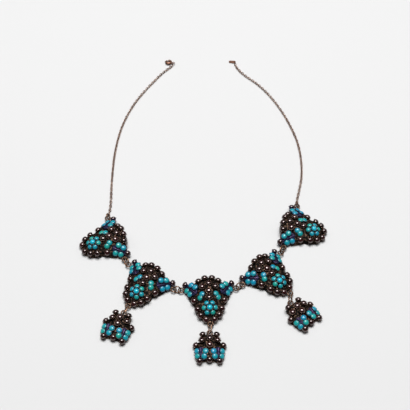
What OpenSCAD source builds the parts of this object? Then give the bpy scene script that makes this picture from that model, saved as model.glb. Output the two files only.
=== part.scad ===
// Collar necklace of domed garnet and turquoise clusters, laid open on a flat surface.
// Millimetres. Z is up from the surface; the clasp and the free end lie towards +Y.

/* [Panels] */
// Height of a panel's metal dome at its crest
panel_crest_h = 6.8; // [5.5:0.1:8]
// Half width at which a panel's dome would meet the surface
panel_half_w = 13.5; // [13:0.1:14.5]
// Height of the rim that every dome stands on
rim_h = 0.8; // [0.6:0.05:1]
// Thickness of the domed sheet
sheet = 0.9; // [0.7:0.05:1.1]

/* [Stones] */
// Diameter of the garnets on the panels
garnet_d = 3.7; // [3.2:0.1:3.9]
// Diameter of the garnets on the drops
drop_garnet_d = 3.6; // [3.2:0.1:3.8]

/* [Flowers and leaves] */
// Radius of a flower's domed mount
flower_r = 3.9; // [3.6:0.1:4]
// Rise of a flower's dome over its edge
flower_rise = 1.6; // [1.2:0.1:1.8]
// Diameter of the large turquoise in the middle of a flower
flower_stone_d = 3.5; // [3.2:0.1:3.8]
// Length of a leaf mount, stem to tip
leaf_l = 9.4; // [8.6:0.1:10]
// Width of a leaf mount
leaf_w = 6.8; // [6:0.1:7]

/* [Drops] */
// Height of a drop's metal dome at its crest
drop_crest_h = 4.6; // [4:0.1:6]
// Half width at which a drop's dome would meet the surface
drop_half_w = 11; // [10.5:0.1:12]

/* [Rings and chain] */
// Wire of the loops that are soldered to panels and drops
loop_wire = 0.8; // [0.7:0.05:0.85]
// Radius of those loops, to the middle of the wire
loop_r = 1.5; // [1.45:0.05:1.55]
// Wire of the loose rings
ring_wire = 0.75; // [0.6:0.05:0.8]
// Radius of the round rings between panels, to the middle of the wire
ring_r = 2; // [1.95:0.05:2.05]
// Length of the long links above the drops, between the middles of the wire
long_link_l = 5.8; // [5.7:0.1:6]
// Width over a chain
chain_d = 1.6; // [1.2:0.1:1.8]

/* [Clasp] */
// Radius of the bolt ring, to the middle of its tube
clasp_r = 1.65; // [1.6:0.05:1.8]
// Outer diameter of the bolt ring's tube
clasp_tube_d = 1.5; // [1.4:0.05:1.6]
// Diameter of the sliding bolt's wire
bolt_d = 0.64; // [0.6:0.01:0.66]
// Radial clearance of the bolt in its tube
bolt_play = 0.09; // [0.06:0.01:0.1]
// Holes in the end tag, for the bolt and for the chain
tag_hole_d = 1; // [0.9:0.05:1.1]
// Thickness of the end tag
tag_t = 0.6; // [0.5:0.1:0.8]

/* [Hidden] */
$fn = 32;
copper = "#8a5b40";
dark_copper = "#6b4634";
turquoise = "#2fb6c8";

// Middle of the whole outline as it lies, moved to the origin
mid_x = -0.8;
mid_y = 7.37;

// Panels in the order of the collar: name, place of the flower's middle, turn,
// and whether a drop hangs on it
panels = [
    ["outer_left", -66.4, -31, -68.4, false],
    ["inner_left", -39.2, -64.7, -32.5, true],
    ["centre", 2.6, -75.2, 2.7, true],
    ["inner_right", 42.7, -57.4, 43.2, true],
    ["outer_right", 64.8, -21.4, 72.4, false],
];
// Drops: name, place of the topmost garnet, turn, and the number of the panel that carries it
drops = [
    ["left", -48.1, -82.2, -17.7, 1],
    ["centre", 2.5, -95.4, -0.2, 2],
    ["right", 52.5, -74.8, 41, 3],
];
// Panel outline seen from a hub: angle from the side, reach
panel_edge = [
    [-90, 16.7], [-80, 16.5], [-65, 14.7], [-48, 11.9], [-37, 10.2], [-20, 10.5], [0, 11.8],
    [13, 13.4], [30, 15.3], [42, 12], [54, 11], [78, 10.6], [90, 10.5],
];
panel_hub_v = 9;
// Drop outline seen from a hub
drop_edge = [
    [-90, 7.2], [-72, 7.5], [-56, 9.4], [-33, 9.2], [-10, 8.3], [17, 9.2], [40, 7.5],
    [60, 10], [74, 9.5], [90, 8.8],
];
drop_hub_v = -5;
// How a dome falls from its crest towards the flower or the foot: crest place, slope, curve
panel_fall = [14, 0.2, 0.0035];
drop_fall = [0, 0.08, 0.008];
// How late a dome rolls over into its rim
panel_roll = 20;
drop_roll = 16;
// Dome rings, as parts of the reach, outside and inside
outer_steps = [0.3, 0.56, 0.78, 0.89, 0.96, 1];
inner_steps = [0.93, 0.84, 0.5];
panel_around = 48;
drop_around = 36;

// Garnets on a panel, one of each mirrored pair: across, along, height of the middle
panel_garnets = [
    [0, 14.4, 6.95], [0, 9.7, 6.3], [0, 5.9, 5.5], [2.1, 17.9, 7], [5.7, 17, 5.2], [3.8, 12.4, 6.6],
    [2.1, 17.8, 3.2], [6.5, 16.5, 2.1], [8.6, 5.4, 3.1], [6.9, -0.2, 3], [5.3, -4, 2.7], [2.4, -6.6, 2.3],
];
// Garnets on a drop, one of each mirrored pair: across, along, height of the middle
drop_garnets = [
    [0, 0, 5.3], [0, -3.8, 4.9], [0, -11.5, 2.1], [3.9, 3, 3.7], [4.4, -0.8, 4.1], [7.6, -3, 2.2],
    [5.5, -12.3, 2],
];

// Loops on a panel: the two side loops' place, and the drop loop's place
side_loop = [16, 13.7];
foot_loop_v = -9.5;
drop_loop_v = 5.2;
loop_z = 1.8;
tab_w = 1.3;
tab_h = 0.9;
tab_z = 0.25;
tab_reach = 3;

ring_tilt = 30;
long_tilt = 30;
long_link_r = 1.4;
ring_lift = 0.03;
chain_ring_r = 1.6;
chain_ring_tilt = 30;

// Flower and leaf mounts on a panel
flower_tilt = 16.6;
flower_v = 0;
flower_z = 3.5;
flower_edge_t = 0.4;
flower_stone_h = 1.6;
stone_gap = 0.12;
leaf_u = 9.8;
leaf_v = 12.7;
leaf_z = 3.15;
leaf_t = 0.6;
leaf_turn = 50;
leaf_tilt = [6.5, 31];
tip_bead = [5.1, 0, 1];
tip_bead_less = 0.2;
rib_part = 0.86;
rib_w = 0.9;

// Left chain, from the outer left panel to the clasp
left_route = [
    [-59.3, -7.4, 1], [-58.6, -3, 0.78], [-58.5, 4, 0.75], [-58.7, 11, 0.75], [-58.8, 19, 0.75],
    [-58.7, 27, 0.75], [-58.5, 35, 0.75], [-57.9, 43, 0.75], [-56.9, 51.5, 0.75], [-55.4, 60, 0.75],
    [-53.2, 68.5, 0.75], [-50, 77.5, 0.75], [-45.9, 86.5, 0.75], [-40.6, 95.5, 0.75],
    [-34.5, 104.5, 0.75], [-31, 109.5, 0.75], [-27.5, 113.6, 0.75], [-24.8, 116.4, 0.78],
    [-22.8, 118.6, 0.95],
];
// Right chain, from the outer right panel to the end tag
right_route = [
    [56.9, 1.7, 1], [57.5, 5.5, 0.78], [58.8, 11, 0.75], [60.5, 19, 0.75], [61.3, 27, 0.75],
    [61.4, 35, 0.75], [60.9, 43, 0.75], [59.6, 51.5, 0.75], [57.3, 60, 0.75], [54.4, 68.5, 0.75],
    [50.6, 77.5, 0.75], [46, 86.5, 0.75], [40.3, 95.5, 0.75], [34, 103, 0.75], [27.7, 109, 0.75],
    [24.4, 112.9, 0.75], [22.1, 116.4, 0.78], [20.8, 119.8, 0.95],
];
route_split = 2;
chain_sides = 8;

// Bolt ring: middle, lean of its far side down, the eye's place, and the angles round the ring
clasp_at = [-25.3, 121.9];
clasp_lean = 12;
eye_off = 3.4;
eye_turn = -20;
eye_r = 1;
eye_wire = 0.4;
gap_from = 95;
gap_to = 145;
bolt_tail = 215;
bolt_travel = 60;
socket_turn = 10;
bolt_in_socket = 8;
bore_past = 4;
tail_room = 10;
knob_turn = 20;
knob_r = 0.2;
knob_stand = 0.35;
slot_w = 0.6;
slot_past = 9;
small_ring_r = 0.95;
small_wire = 0.36;
// How far a ring's wire lies in from the middle of the wire that it passes
ring_bite = 0.15;
small_ring_bite = 0.1;

// End tag: its free end, its turn, the slope at which the small ring props it, and its two holes
tag_from = [16.5, 123];
tag_turn = -12;
tag_slope = 8;
tag_r = 0.9;
tag_hook_x = 0.9;
tag_chain_x = 3.9;
tag_chain_at = [20.3, 122.2];

function flip(p) = [-p[0], p[1]];
function ease(t) = (1 - cos(180 * t)) / 2;
function row_before(rows, a) = max([for (i = [0 : len(rows) - 2]) if (rows[i][0] <= a) i]);
function reach_in(rows, a) =
    let (i = row_before(rows, a), lo = rows[i], hi = rows[i + 1])
    lo[1] + (hi[1] - lo[1]) * ease((a - lo[0]) / (hi[0] - lo[0]));
function reach(rows, a) = reach_in(rows, max(-90, min(89.99, atan2(sin(a), abs(cos(a))))));

// Height of a dome's crest line, and of its outer face, at a place in the dome's own plane
function crest(h, fall, v) = let (d = max(0, fall[0] - v)) h - fall[1] * d - fall[2] * d * d;
function crown(h, fall, half_w, u, v) = crest(h, fall, v) * (1 - pow(min(1, abs(u) / half_w), 1.5));
function dome_z(h, fall, half_w, roll, u, v, k) =
    let (low = pow(k, roll)) crown(h, fall, half_w, u, v) * (1 - low) + rim_h * low;

// One ring of points round a dome, at a part of its reach, drawn in and let down by a wall
function dome_ring(edge, hub_v, h, fall, half_w, roll, around, k, wall) = [
    for (j = [0 : around - 1])
        let (
            a = j * 360 / around,
            full = reach(edge, a),
            r = k * (full - wall),
            u = r * cos(a),
            v = hub_v + r * sin(a)
        )
        [u, v, max(0, dome_z(h, fall, half_w, roll, u, v, r / full) - wall)]
];
function flat_ring(ring) = [for (p = ring) [p[0], p[1], 0]];

// Faces of a skin over rings of n points, closed by a point at each end
function skin_faces(rings, n, first, last) = [
    for (j = [0 : n - 1]) [first, (j + 1) % n, j],
    for (i = [0 : rings - 2], j = [0 : n - 1])
        let (a = i * n + j, b = i * n + (j + 1) % n)
        each [[a, b, b + n], [a, b + n, a + n]],
    for (j = [0 : n - 1]) let (o = (rings - 1) * n) [last, o + j, o + (j + 1) % n],
];

// A domed sheet, open underneath, standing on its rim
module dome(edge, hub_v, h, fall, half_w, roll, around) {
    outer = [for (k = outer_steps) dome_ring(edge, hub_v, h, fall, half_w, roll, around, k, 0)];
    inner = [for (k = inner_steps) dome_ring(edge, hub_v, h, fall, half_w, roll, around, k, sheet)];
    foot = dome_ring(edge, hub_v, h, fall, half_w, roll, around, 1, sheet);
    rings = concat(outer, [flat_ring(outer[len(outer) - 1]), flat_ring(foot)], inner);
    top_z = crown(h, fall, half_w, 0, hub_v);
    points = [for (r = rings) each r];
    n = len(points);
    polyhedron(
        points = concat(points, [[0, hub_v, top_z], [0, hub_v, top_z - sheet]]),
        faces = skin_faces(len(rings), around, n, n + 1)
    );
}

module torus(radius, wire) {
    rotate_extrude() translate([radius, 0]) circle(d = wire);
}

// Garnets, with the other half of each mirrored pair
module garnets(places, d) {
    for (p = places, s = p[0] > 0 ? [-1, 1] : [1]) translate([s * p[0], p[1], p[2]]) sphere(d = d);
}

// A flat loop on its foot, with the tab that joins it to a rim, the tab running towards -X
module soldered_loop() {
    translate([0, 0, loop_z]) torus(loop_r, loop_wire);
    translate([-loop_r - loop_wire / 2, -tab_w / 2, tab_z]) cube([loop_wire, tab_w, loop_z - tab_z]);
    translate([-loop_r - tab_reach + loop_wire / 2, -tab_w / 2, tab_z]) cube([tab_reach, tab_w, tab_h]);
}

// Where a place in a piece's own plane lies once the piece is placed
function placed(p, uv) = [
    p[1] + uv[0] * cos(p[3]) - uv[1] * sin(p[3]) - mid_x,
    p[2] + uv[0] * sin(p[3]) + uv[1] * cos(p[3]) - mid_y,
];
function shifted(xy) = [xy[0] - mid_x, xy[1] - mid_y];

// Height of the bolt ring's middle, and where its eye lies
clasp_z = clasp_r * sin(clasp_lean) + clasp_tube_d / 2;
eye_xy = shifted(clasp_at) + eye_off * [cos(eye_turn), sin(eye_turn) * cos(clasp_lean)];

module lay(p) {
    translate([p[1] - mid_x, p[2] - mid_y, 0]) rotate([0, 0, p[3]]) children();
}

module panel(p) {
    color(copper) lay(p) union() {
        dome(panel_edge, panel_hub_v, panel_crest_h, panel_fall, panel_half_w, panel_roll, panel_around);
        garnets(panel_garnets, garnet_d);
        translate([side_loop[0], side_loop[1], 0]) soldered_loop();
        translate([-side_loop[0], side_loop[1], 0]) rotate([0, 0, 180]) soldered_loop();
        if (p[4]) translate([0, foot_loop_v, 0]) rotate([0, 0, -90]) soldered_loop();
    }
}

module on_flower_seat(p) {
    lay(p) translate([0, flower_v, flower_z]) rotate([flower_tilt, 0, 0]) children();
}

// A domed round mount, flat below
module flower(p) {
    arc = [
        for (i = [0 : 6])
            let (r = flower_r * (1 - i / 6))
            [r, flower_edge_t + flower_rise * (1 - pow(r / flower_r, 2))]
    ];
    color(copper) on_flower_seat(p) rotate_extrude() polygon(concat([[0, 0], [flower_r, 0]], arc));
}

// A round cabochon with a flat back
module flower_stone(p) {
    base_r = flower_stone_d / 2;
    ball_r = (base_r * base_r + flower_stone_h * flower_stone_h) / (2 * flower_stone_h);
    seat_z = flower_edge_t + flower_rise + stone_gap;
    color(turquoise) on_flower_seat(p) translate([0, 0, seat_z]) intersection() {
        translate([0, 0, flower_stone_h - ball_r]) sphere(ball_r);
        cylinder(r = base_r, h = flower_stone_h);
    }
}

// An almond plate with a raised rib and a garnet at its tip, stem to tip along X
module leaf_plate() {
    arc_r = (leaf_l * leaf_l + leaf_w * leaf_w) / (4 * leaf_w);
    off = arc_r - leaf_w / 2;
    linear_extrude(leaf_t) intersection() {
        translate([0, off]) circle(arc_r, $fn = 64);
        translate([0, -off]) circle(arc_r, $fn = 64);
    }
    rib_l = leaf_l * rib_part;
    translate([-rib_l / 2, -rib_w / 2, leaf_t / 2]) cube([rib_l, rib_w, leaf_t]);
    translate(tip_bead) sphere(d = garnet_d - tip_bead_less);
}

module leaf(p, side) {
    color(dark_copper) lay(p) mirror([side < 0 ? 1 : 0, 0, 0])
        translate([leaf_u, leaf_v, leaf_z])
        rotate([leaf_tilt[0], leaf_tilt[1], 0])
        rotate([0, 0, leaf_turn])
        union() leaf_plate();
}

module drop(p) {
    color(copper) lay(p) union() {
        dome(drop_edge, drop_hub_v, drop_crest_h, drop_fall, drop_half_w, drop_roll, drop_around);
        garnets(drop_garnets, drop_garnet_d);
        translate([0, drop_loop_v, 0]) rotate([0, 0, 90]) soldered_loop();
    }
}

// A loose round ring through two places, leaning over
module ring_between(a, b, radius, wire, tilt) {
    heading = atan2(b[1] - a[1], b[0] - a[0]);
    z = radius * cos(tilt) + wire / 2 + ring_lift;
    color(dark_copper) translate([(a[0] + b[0]) / 2, (a[1] + b[1]) / 2, z])
        rotate([0, 0, heading]) rotate([90 - tilt, 0, 0]) torus(radius, wire);
}

// Points of a tube round a row of points
function step_dir(row, i) =
    let (way = row[min(len(row) - 1, i + 1)] - row[max(0, i - 1)])
    way / norm(way);
function tube_ring(at, along, r, sides) =
    let (across = cross([0, 0, 1], along), w = across / norm(across), up = cross(along, w))
    [for (j = [0 : sides - 1]) let (a = (j + 0.5) * 360 / sides) at + r * (cos(a) * w + sin(a) * up)];
function wrap_faces(rings, n) = [
    for (i = [0 : rings - 2], j = [0 : n - 1])
        let (o = i * n, q = (i + 1) * n, k = (j + 1) % n)
        each [[o + j, q + k, o + k], [o + j, q + j, q + k]],
];

module tube(row, d, sides) {
    points = [for (i = [0 : len(row) - 1]) each tube_ring(row[i], step_dir(row, i), d / 2, sides)];
    last = (len(row) - 1) * sides;
    polyhedron(
        points = points,
        faces = concat(
            wrap_faces(len(row), sides),
            [[for (j = [0 : sides - 1]) j], [for (j = [sides - 1 : -1 : 0]) last + j]]
        )
    );
}

// A smooth line through the points of a route
function bend(a, b, c, d, t) =
    0.5 * (2 * b + (c - a) * t + (2 * a - 5 * b + 4 * c - d) * t * t + (3 * b - a - 3 * c + d) * t * t * t);
function smooth(row, split) = [
    for (i = [0 : len(row) - 2], s = [0 : split - 1])
        bend(row[max(0, i - 1)], row[i], row[i + 1], row[min(len(row) - 1, i + 2)], s / split),
    row[len(row) - 1],
];

// The chain's room: its links lie inside this tube
module chain(route) {
    color(dark_copper) translate([-mid_x, -mid_y, 0]) tube(smooth(route, route_split), chain_d, chain_sides);
}

// A long link with round ends, lying along X in the XY plane
module long_link() {
    half = long_link_l / 2 - long_link_r;
    union() {
        for (s = [-1, 1]) {
            translate([s * half, 0, 0]) rotate([0, 0, s > 0 ? -90 : 90])
                rotate_extrude(angle = 180) translate([long_link_r, 0]) circle(d = ring_wire);
            translate([-half, s * long_link_r, 0]) rotate([0, 90, 0]) cylinder(d = ring_wire, h = 2 * half);
        }
    }
}

module drop_link(d) {
    a = placed(panels[d[4]], [0, foot_loop_v]);
    b = placed(d, [0, drop_loop_v]);
    z = long_link_r * cos(long_tilt) + ring_wire / 2 + ring_lift;
    color(dark_copper) translate([(a[0] + b[0]) / 2, (a[1] + b[1]) / 2, z])
        rotate([0, 0, atan2(b[1] - a[1], b[0] - a[0])]) rotate([90 - long_tilt, 0, 0]) long_link();
}

module panel_link(i) {
    ring_between(
        placed(panels[i], side_loop), placed(panels[i + 1], flip(side_loop)), ring_r, ring_wire, ring_tilt
    );
}

// The ring that takes a chain to its panel, its far side past the loop
module chain_ring(from, towards) {
    way = (towards - from) / norm(towards - from);
    far = from + way * 2 * (chain_ring_r - ring_bite);
    ring_between(from, far, chain_ring_r, ring_wire, chain_ring_tilt);
}

module left_chain_ring() {
    chain_ring(placed(panels[0], flip(side_loop)), shifted(left_route[0]));
}

module right_chain_ring() {
    chain_ring(placed(panels[4], side_loop), shifted(right_route[0]));
}

// Part of a torus from one angle to another
module arc_torus(from, to, d) {
    rotate([0, 0, from]) rotate_extrude(angle = to - from) translate([clasp_r, 0]) circle(d = d);
}

module at_clasp() {
    xy = shifted(clasp_at);
    translate([xy[0], xy[1], clasp_z]) rotate([-clasp_lean, 0, 0]) children();
}

module clasp_ring() {
    bore_d = bolt_d + 2 * bolt_play;
    knob_at = gap_to + knob_turn;
    color(copper) at_clasp() union() {
        difference() {
            arc_torus(gap_to, gap_from + 360, clasp_tube_d);
            arc_torus(gap_to - bore_past, bolt_tail + bolt_travel + tail_room, bore_d);
            arc_torus(gap_from + 360 - socket_turn, gap_from + 360 + bore_past, bore_d);
            rotate([0, 0, knob_at - slot_past]) rotate_extrude(angle = bolt_travel + 2 * slot_past)
                translate([clasp_r + bolt_d / 4, -slot_w / 2]) square([clasp_tube_d, slot_w]);
        }
        rotate([0, 0, eye_turn]) translate([eye_off, 0, 0]) torus(eye_r, eye_wire);
    }
}

module clasp_bolt() {
    color(dark_copper) at_clasp() union() {
        arc_torus(gap_from - bolt_in_socket, bolt_tail, bolt_d);
        rotate([0, 0, gap_to + knob_turn]) translate([clasp_r, 0, 0])
            rotate([0, 90, 0]) cylinder(r = knob_r, h = clasp_tube_d / 2 + knob_stand);
    }
}

// A small upright ring from an eye towards the end of a chain
module end_ring(from, towards) {
    way = (towards - from) / norm(towards - from);
    ring_between(from, from + way * 2 * (small_ring_r - small_ring_bite), small_ring_r, small_wire, 0);
}

module clasp_link() {
    end_ring(eye_xy, shifted(left_route[len(left_route) - 1]));
}

module tag_link() {
    end_ring(shifted(tag_chain_at), shifted(right_route[len(right_route) - 1]));
}

module end_tag() {
    color(copper) translate([tag_from[0] - mid_x, tag_from[1] - mid_y, 0])
        rotate([0, 0, tag_turn]) rotate([0, -tag_slope, 0]) difference() {
            hull() {
                for (x = [tag_hook_x, tag_chain_x]) translate([x, 0, 0]) cylinder(r = tag_r, h = tag_t);
            }
            for (x = [tag_hook_x, tag_chain_x])
                translate([x, 0, -tag_t]) cylinder(d = tag_hole_d, h = 3 * tag_t);
        }
}

link_names = ["outer_left_link", "inner_left_link", "inner_right_link", "outer_right_link"];

for (p = panels) {
    panel(p);
    flower(p);
    flower_stone(p);
    leaf(p, -1);
    leaf(p, 1);
}
for (i = [0 : 3]) {
    panel_link(i);
}
for (d = drops) {
    drop(d);
    drop_link(d);
}
left_chain_ring();
right_chain_ring();
chain(left_route);  // left_chain
chain(right_route);  // right_chain
clasp_ring();
clasp_bolt();
clasp_link();
end_tag();
tag_link();
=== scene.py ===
"""Collar necklace of garnet and turquoise clusters.

Adds the stones, settings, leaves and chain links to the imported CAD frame. Lengths in the tables
are millimetres, as in the part's source, and MM turns them into metres.
"""

import math
import random
from collections import namedtuple

import bmesh
import bpy
from mathutils import Matrix, Vector


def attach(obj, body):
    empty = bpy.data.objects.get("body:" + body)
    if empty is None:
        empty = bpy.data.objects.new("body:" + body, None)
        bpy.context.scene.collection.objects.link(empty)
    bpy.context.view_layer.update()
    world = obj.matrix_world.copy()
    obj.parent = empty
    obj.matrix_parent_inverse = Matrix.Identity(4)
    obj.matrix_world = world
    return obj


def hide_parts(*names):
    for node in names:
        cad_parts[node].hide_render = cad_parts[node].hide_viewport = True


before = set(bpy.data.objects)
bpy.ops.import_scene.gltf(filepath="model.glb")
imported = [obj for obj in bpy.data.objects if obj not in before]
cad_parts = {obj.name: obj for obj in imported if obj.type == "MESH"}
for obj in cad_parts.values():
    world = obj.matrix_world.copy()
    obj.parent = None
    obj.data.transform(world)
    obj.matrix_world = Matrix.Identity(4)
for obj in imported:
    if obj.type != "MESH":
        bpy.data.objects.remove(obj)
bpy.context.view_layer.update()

bl_info = {
    "name": "Collar necklace",
    "version": (1, 0, 0),
    "blender": (4, 5, 0),
    "location": "3D View > Sidebar > Necklace",
    "description": "Stones, settings, leaves and chain of a collar necklace, built over its packed frame",
    "category": "Add Mesh",
}

MM = 0.001
BODY = "necklace"
# Middle of the whole outline as it was measured, moved to the origin
MID = (-0.8, 7.37)

# Panels: name, place of the flower's middle, turn, and whether a drop hangs on it
PANELS = [
    ("outer_left", -66.4, -31, -68.4, False),
    ("inner_left", -39.2, -64.7, -32.5, True),
    ("centre", 2.6, -75.2, 2.7, True),
    ("inner_right", 42.7, -57.4, 43.2, True),
    ("outer_right", 64.8, -21.4, 72.4, False),
]
# Drops: name, place of the upper garnet on the middle line, turn
DROPS = [
    ("left", -48.1, -82.2, -17.7),
    ("centre", 2.5, -95.4, -0.2),
    ("right", 52.5, -74.8, 41),
]

# Outlines seen from a hub on the middle line: angle from the side, reach
PANEL_EDGE = [
    (-90, 16.7), (-80, 16.5), (-65, 14.7), (-48, 11.9), (-37, 10.2), (-20, 10.5), (0, 11.8),
    (13, 13.4), (30, 15.3), (42, 12), (54, 11), (78, 10.6), (90, 10.5),
]
DROP_EDGE = [
    (-90, 7.2), (-72, 7.5), (-56, 9.4), (-33, 9.2), (-10, 8.3), (17, 9.2), (40, 7.5),
    (60, 10), (74, 9.5), (90, 8.8),
]
# A dome's outline and hub, the height of its crest, the half width at which it would meet the surface,
# how late it rolls over into its rim, its fall from the crest (place, slope, curve), and points round it
Dome = namedtuple("Dome", "edge hub_v crest_h half_w roll fall around")
PANEL_DOME = Dome(PANEL_EDGE, 9, 6.8, 13.5, 20, (14, 0.2, 0.0035), 96)
DROP_DOME = Dome(DROP_EDGE, -5, 4.6, 11, 16, (0, 0.08, 0.008), 72)
# Power of a dome's fall to its sides: 2 is round, less is more pointed
DOME_POWER = 1.5
SHEET_T = 0.5
RIM_H = 0.8
RIM_WIRE_R = 0.4
# Rings of a dome, as parts of its reach
DOME_STEPS = [1, 0.965, 0.93, 0.88, 0.8, 0.7, 0.58, 0.45, 0.3, 0.15]

# Round stones, one of each mirrored pair: across, along, height, lean outwards, tone
PANEL_GARNETS = [
    (0, 14.4, 6.95, 4, 0.35), (0, 9.7, 6.3, -8, 0.6), (0, 5.9, 5.5, -12, 0.3), (2.1, 17.9, 7, 32, 0.5),
    (5.7, 17, 5.2, 42, 0.25), (3.8, 12.4, 6.6, 16, 0.55), (2.1, 17.8, 3.2, 80, 0.4),
    (6.5, 16.5, 2.1, 74, 0.6), (8.6, 5.4, 3.1, 42, 0.7), (6.9, -0.2, 3, 40, 0.45),
    (5.3, -4, 2.7, 42, 0.3), (2.4, -6.6, 2.3, 40, 0.55),
]
DROP_GARNETS = [
    (0, 0, 5.3, 6, 0.45), (0, -3.8, 4.9, 2, 0.65), (0, -11.5, 2.1, 40, 0.4), (3.9, 3, 3.7, 36, 0.3),
    (4.4, -0.8, 4.1, 20, 0.5), (7.6, -3, 2.2, 44, 0.6), (5.5, -12.3, 2, 40, 0.35),
]
PANEL_TURQUOISES = [(3.9, 8.5, 5.1, 22, 0.45), (5.1, 6.5, 4.35, 34, 0.7)]
DROP_TURQUOISES = [
    (2.2, -7.4, 4.05, 14, 0.25), (2.9, -10.1, 3.3, 28, 0.6),
    (6.9, -6.9, 2.8, 36, 0.35), (6.6, -9.8, 2.5, 40, 0.5),
]
# How far chance tilts a stone, in radians, and how far it shifts the tones of garnets and turquoises
STONE_TILT = 0.1
TONE_SPREAD = (0.2, 0.4)

# Leaf under four turquoises of a drop, one of the mirrored pair: its middle, its two tilts, its size
DROP_LEAF_AT = (4.6, -8.5, 2.75)
DROP_LEAF_TILT = (15, 15)
DROP_LEAF_SIZE = (7.8, 6.2, 0.5)
# Leaf on a panel, one of the mirrored pair: its middle, its two tilts, its turn, its size
LEAF_AT = (9.8, 12.7, 3.15)
LEAF_TILT = (6.5, 31)
LEAF_TURN = 50
LEAF_SIZE = (9.4, 6.8, 0.6)
# Raised face of a leaf: how far in from the edge, and its rise
LEAF_FACE = (0.3, 0.18)
# A leaf's rib: its length as a part of the leaf's, its radius, and how far its ends draw in and out
LEAF_RIB = (0.85, 0.42, 0.12, 0.3)
# Stones on a leaf, stem to tip along X: along, across, tone
LEAF_TURQUOISES = [(1.65, 2.05, 0.3), (1.65, -2.05, 0.55), (-1.55, 2.5, 0.45), (-1.55, -2.5, 0.2)]
LEAF_STONE_Z = 0.75
LEAF_STONE_LEAN = 0.2
# How a leaf's tones move on from panel to panel and from stone to stone, and where they start over
LEAF_TONE_STEPS = (0.23, 0.17, 0.8)
# The garnet at a leaf's tip
TIP_BEAD = (5.1, 0, 1)
TIP_BEAD_LEAN = 0.35
TIP_BEAD_TONE = 0.45

# Places of the loops on panels and drops
SIDE_LOOP = (16, 13.7)
FOOT_LOOP_V = -9.5
DROP_LOOP_V = 5.2
LOOP_Z = 1.8
LOOP_R = 1.5
LOOP_WIRE = 0.8
LOOP_BEVEL = 0.2
# Tongue and upright foot of a loop: middle, size
LOOP_FEET = [((-2.6, 0, 0.7), (3, 1.3, 0.9)), ((-1.5, 0, 1.05), (0.85, 1.3, 1.6))]

FLOWER_AT = (0, 0, 3.5)
FLOWER_TILT = 16.6
FLOWER_TOP = 2
PETAL_RING_R = 3.1
PETAL_Z = 1.05
PETAL_LEAN = 0.59
# Tones of the six petals, and how many places they move on from one panel to the next
PETAL_TONES = (0.25, 0.8, 0.45, 0.95, 0.6, 0.35)
PETAL_SHIFT = 2
FLOWER_STONE_TONE = 0.15

# Height of a garnet's girdle over the middle of its ball, as a part of the ball's radius
GIRDLE = 0.3
# Power of a garnet's dome: 2 is a ball, more is flatter on top
GARNET_FLATNESS = 2.35
# Depth of a garnet's back as a part of its radius, and the part of its width that is left there
GARNET_BACK = (0.7, 0.6)
# Height of a turquoise's girdle, and the part of its width that is left at its base
TURQUOISE_GIRDLE = 0.3
TURQUOISE_BASE = 0.93
TURQUOISE_H = 1.25
PETAL_H = 1.3
FLOWER_STONE_H = 1.7
# Cups under the turquoises: room round the stone, depth, number of claws
PLATE_CUP = (0.08, 1.1, 6)
PETAL_CUP = (0.06, 1.1, 5)
FLOWER_CUP = (0.08, 1.3, 8)
LEAF_CUP = (0.08, 0.8, 6)
CUP_MOUTH_Z = 0.4
CLAW_R = 0.2
# A claw: its place out, its rise in claw radii, its stretch upwards
CLAW_SHAPE = (0.98, 0.5, 1.5)
CUP_TAPER = 0.7
# The cup under a garnet: room round its girdle, mouth over its girdle, depth, number and radius of claws
GARNET_CUP = (0.12, 0.1, 1.7, 7, 0.22)
# Wall and hollow of a cup's mouth
CUP_WALL = 0.16
CUP_HOLLOW = 0.25
# How far each kind of part is rubbed bright, 0 being patina and 1 bare metal; the plate stays near black,
# partly patina and partly painted shade between the stones
RUB = {"plate": -0.05, "rim": 0.45, "loop": 0.4, "cup": 0.3, "claw": 0.9, "leaf": 0.12, "rib": 0.5}

# How squarely a face looks up, down or along to be picked
FACING = 0.9

# Power of the painted shade round a stone's edge: less spreads it further up the dome
EDGE_SHADE_POWER = 1.05
# Specular level of metal that patina dulls
PATINA_SHINE = 0.04
# Bump of metal and of stone: strength, distance in metres
METAL_BUMP = (0.25, 0.00006)
STONE_BUMP = (0.1, 0.00008)

# Links over which a chain turns from flat and upright to slanting, and that slant
TWIST_LINKS = 20
CHAIN_SLANT = 45
# Routes of the chains from the panels to their ends: place and height
LEFT_ROUTE = [
    (-59.3, -7.4, 1), (-58.6, -3, 0.93), (-58.5, 4, 0.91), (-58.7, 11, 0.9), (-58.8, 19, 0.86),
    (-58.7, 27, 0.8), (-58.5, 35, 0.78), (-57.9, 43, 0.78), (-56.9, 51.5, 0.78), (-55.4, 60, 0.78),
    (-53.2, 68.5, 0.78), (-50, 77.5, 0.78), (-45.9, 86.5, 0.78), (-40.6, 95.5, 0.78),
    (-34.5, 104.5, 0.78), (-31, 109.5, 0.78), (-27.5, 113.6, 0.78), (-24.8, 116.4, 0.8),
    (-22.8, 118.6, 0.95),
]
RIGHT_ROUTE = [
    (56.9, 1.7, 1), (57.5, 5.5, 0.93), (58.8, 11, 0.91), (60.5, 19, 0.9), (61.3, 27, 0.87),
    (61.4, 35, 0.8), (60.9, 43, 0.78), (59.6, 51.5, 0.78), (57.3, 60, 0.78), (54.4, 68.5, 0.78),
    (50.6, 77.5, 0.78), (46, 86.5, 0.78), (40.3, 95.5, 0.78), (34, 103, 0.78), (27.7, 109, 0.78),
    (24.4, 112.9, 0.78), (22.1, 116.4, 0.8), (20.8, 119.8, 0.95),
]
# How far a chain's line is let out at its first and last end, and how far those ends are lifted
CHAIN_HOOKS = (1.1, 1, 0.35, 0.15)
# Points of a chain's line to each row of its route
LINE_STEPS = 12
# How far chance turns a link, in degrees
LINK_TURN = 10
CHAIN_SEED = 11

# Point of the surface that the camera looks at
VIEW_TARGET = (0.7, -7.1, 0)
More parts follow.
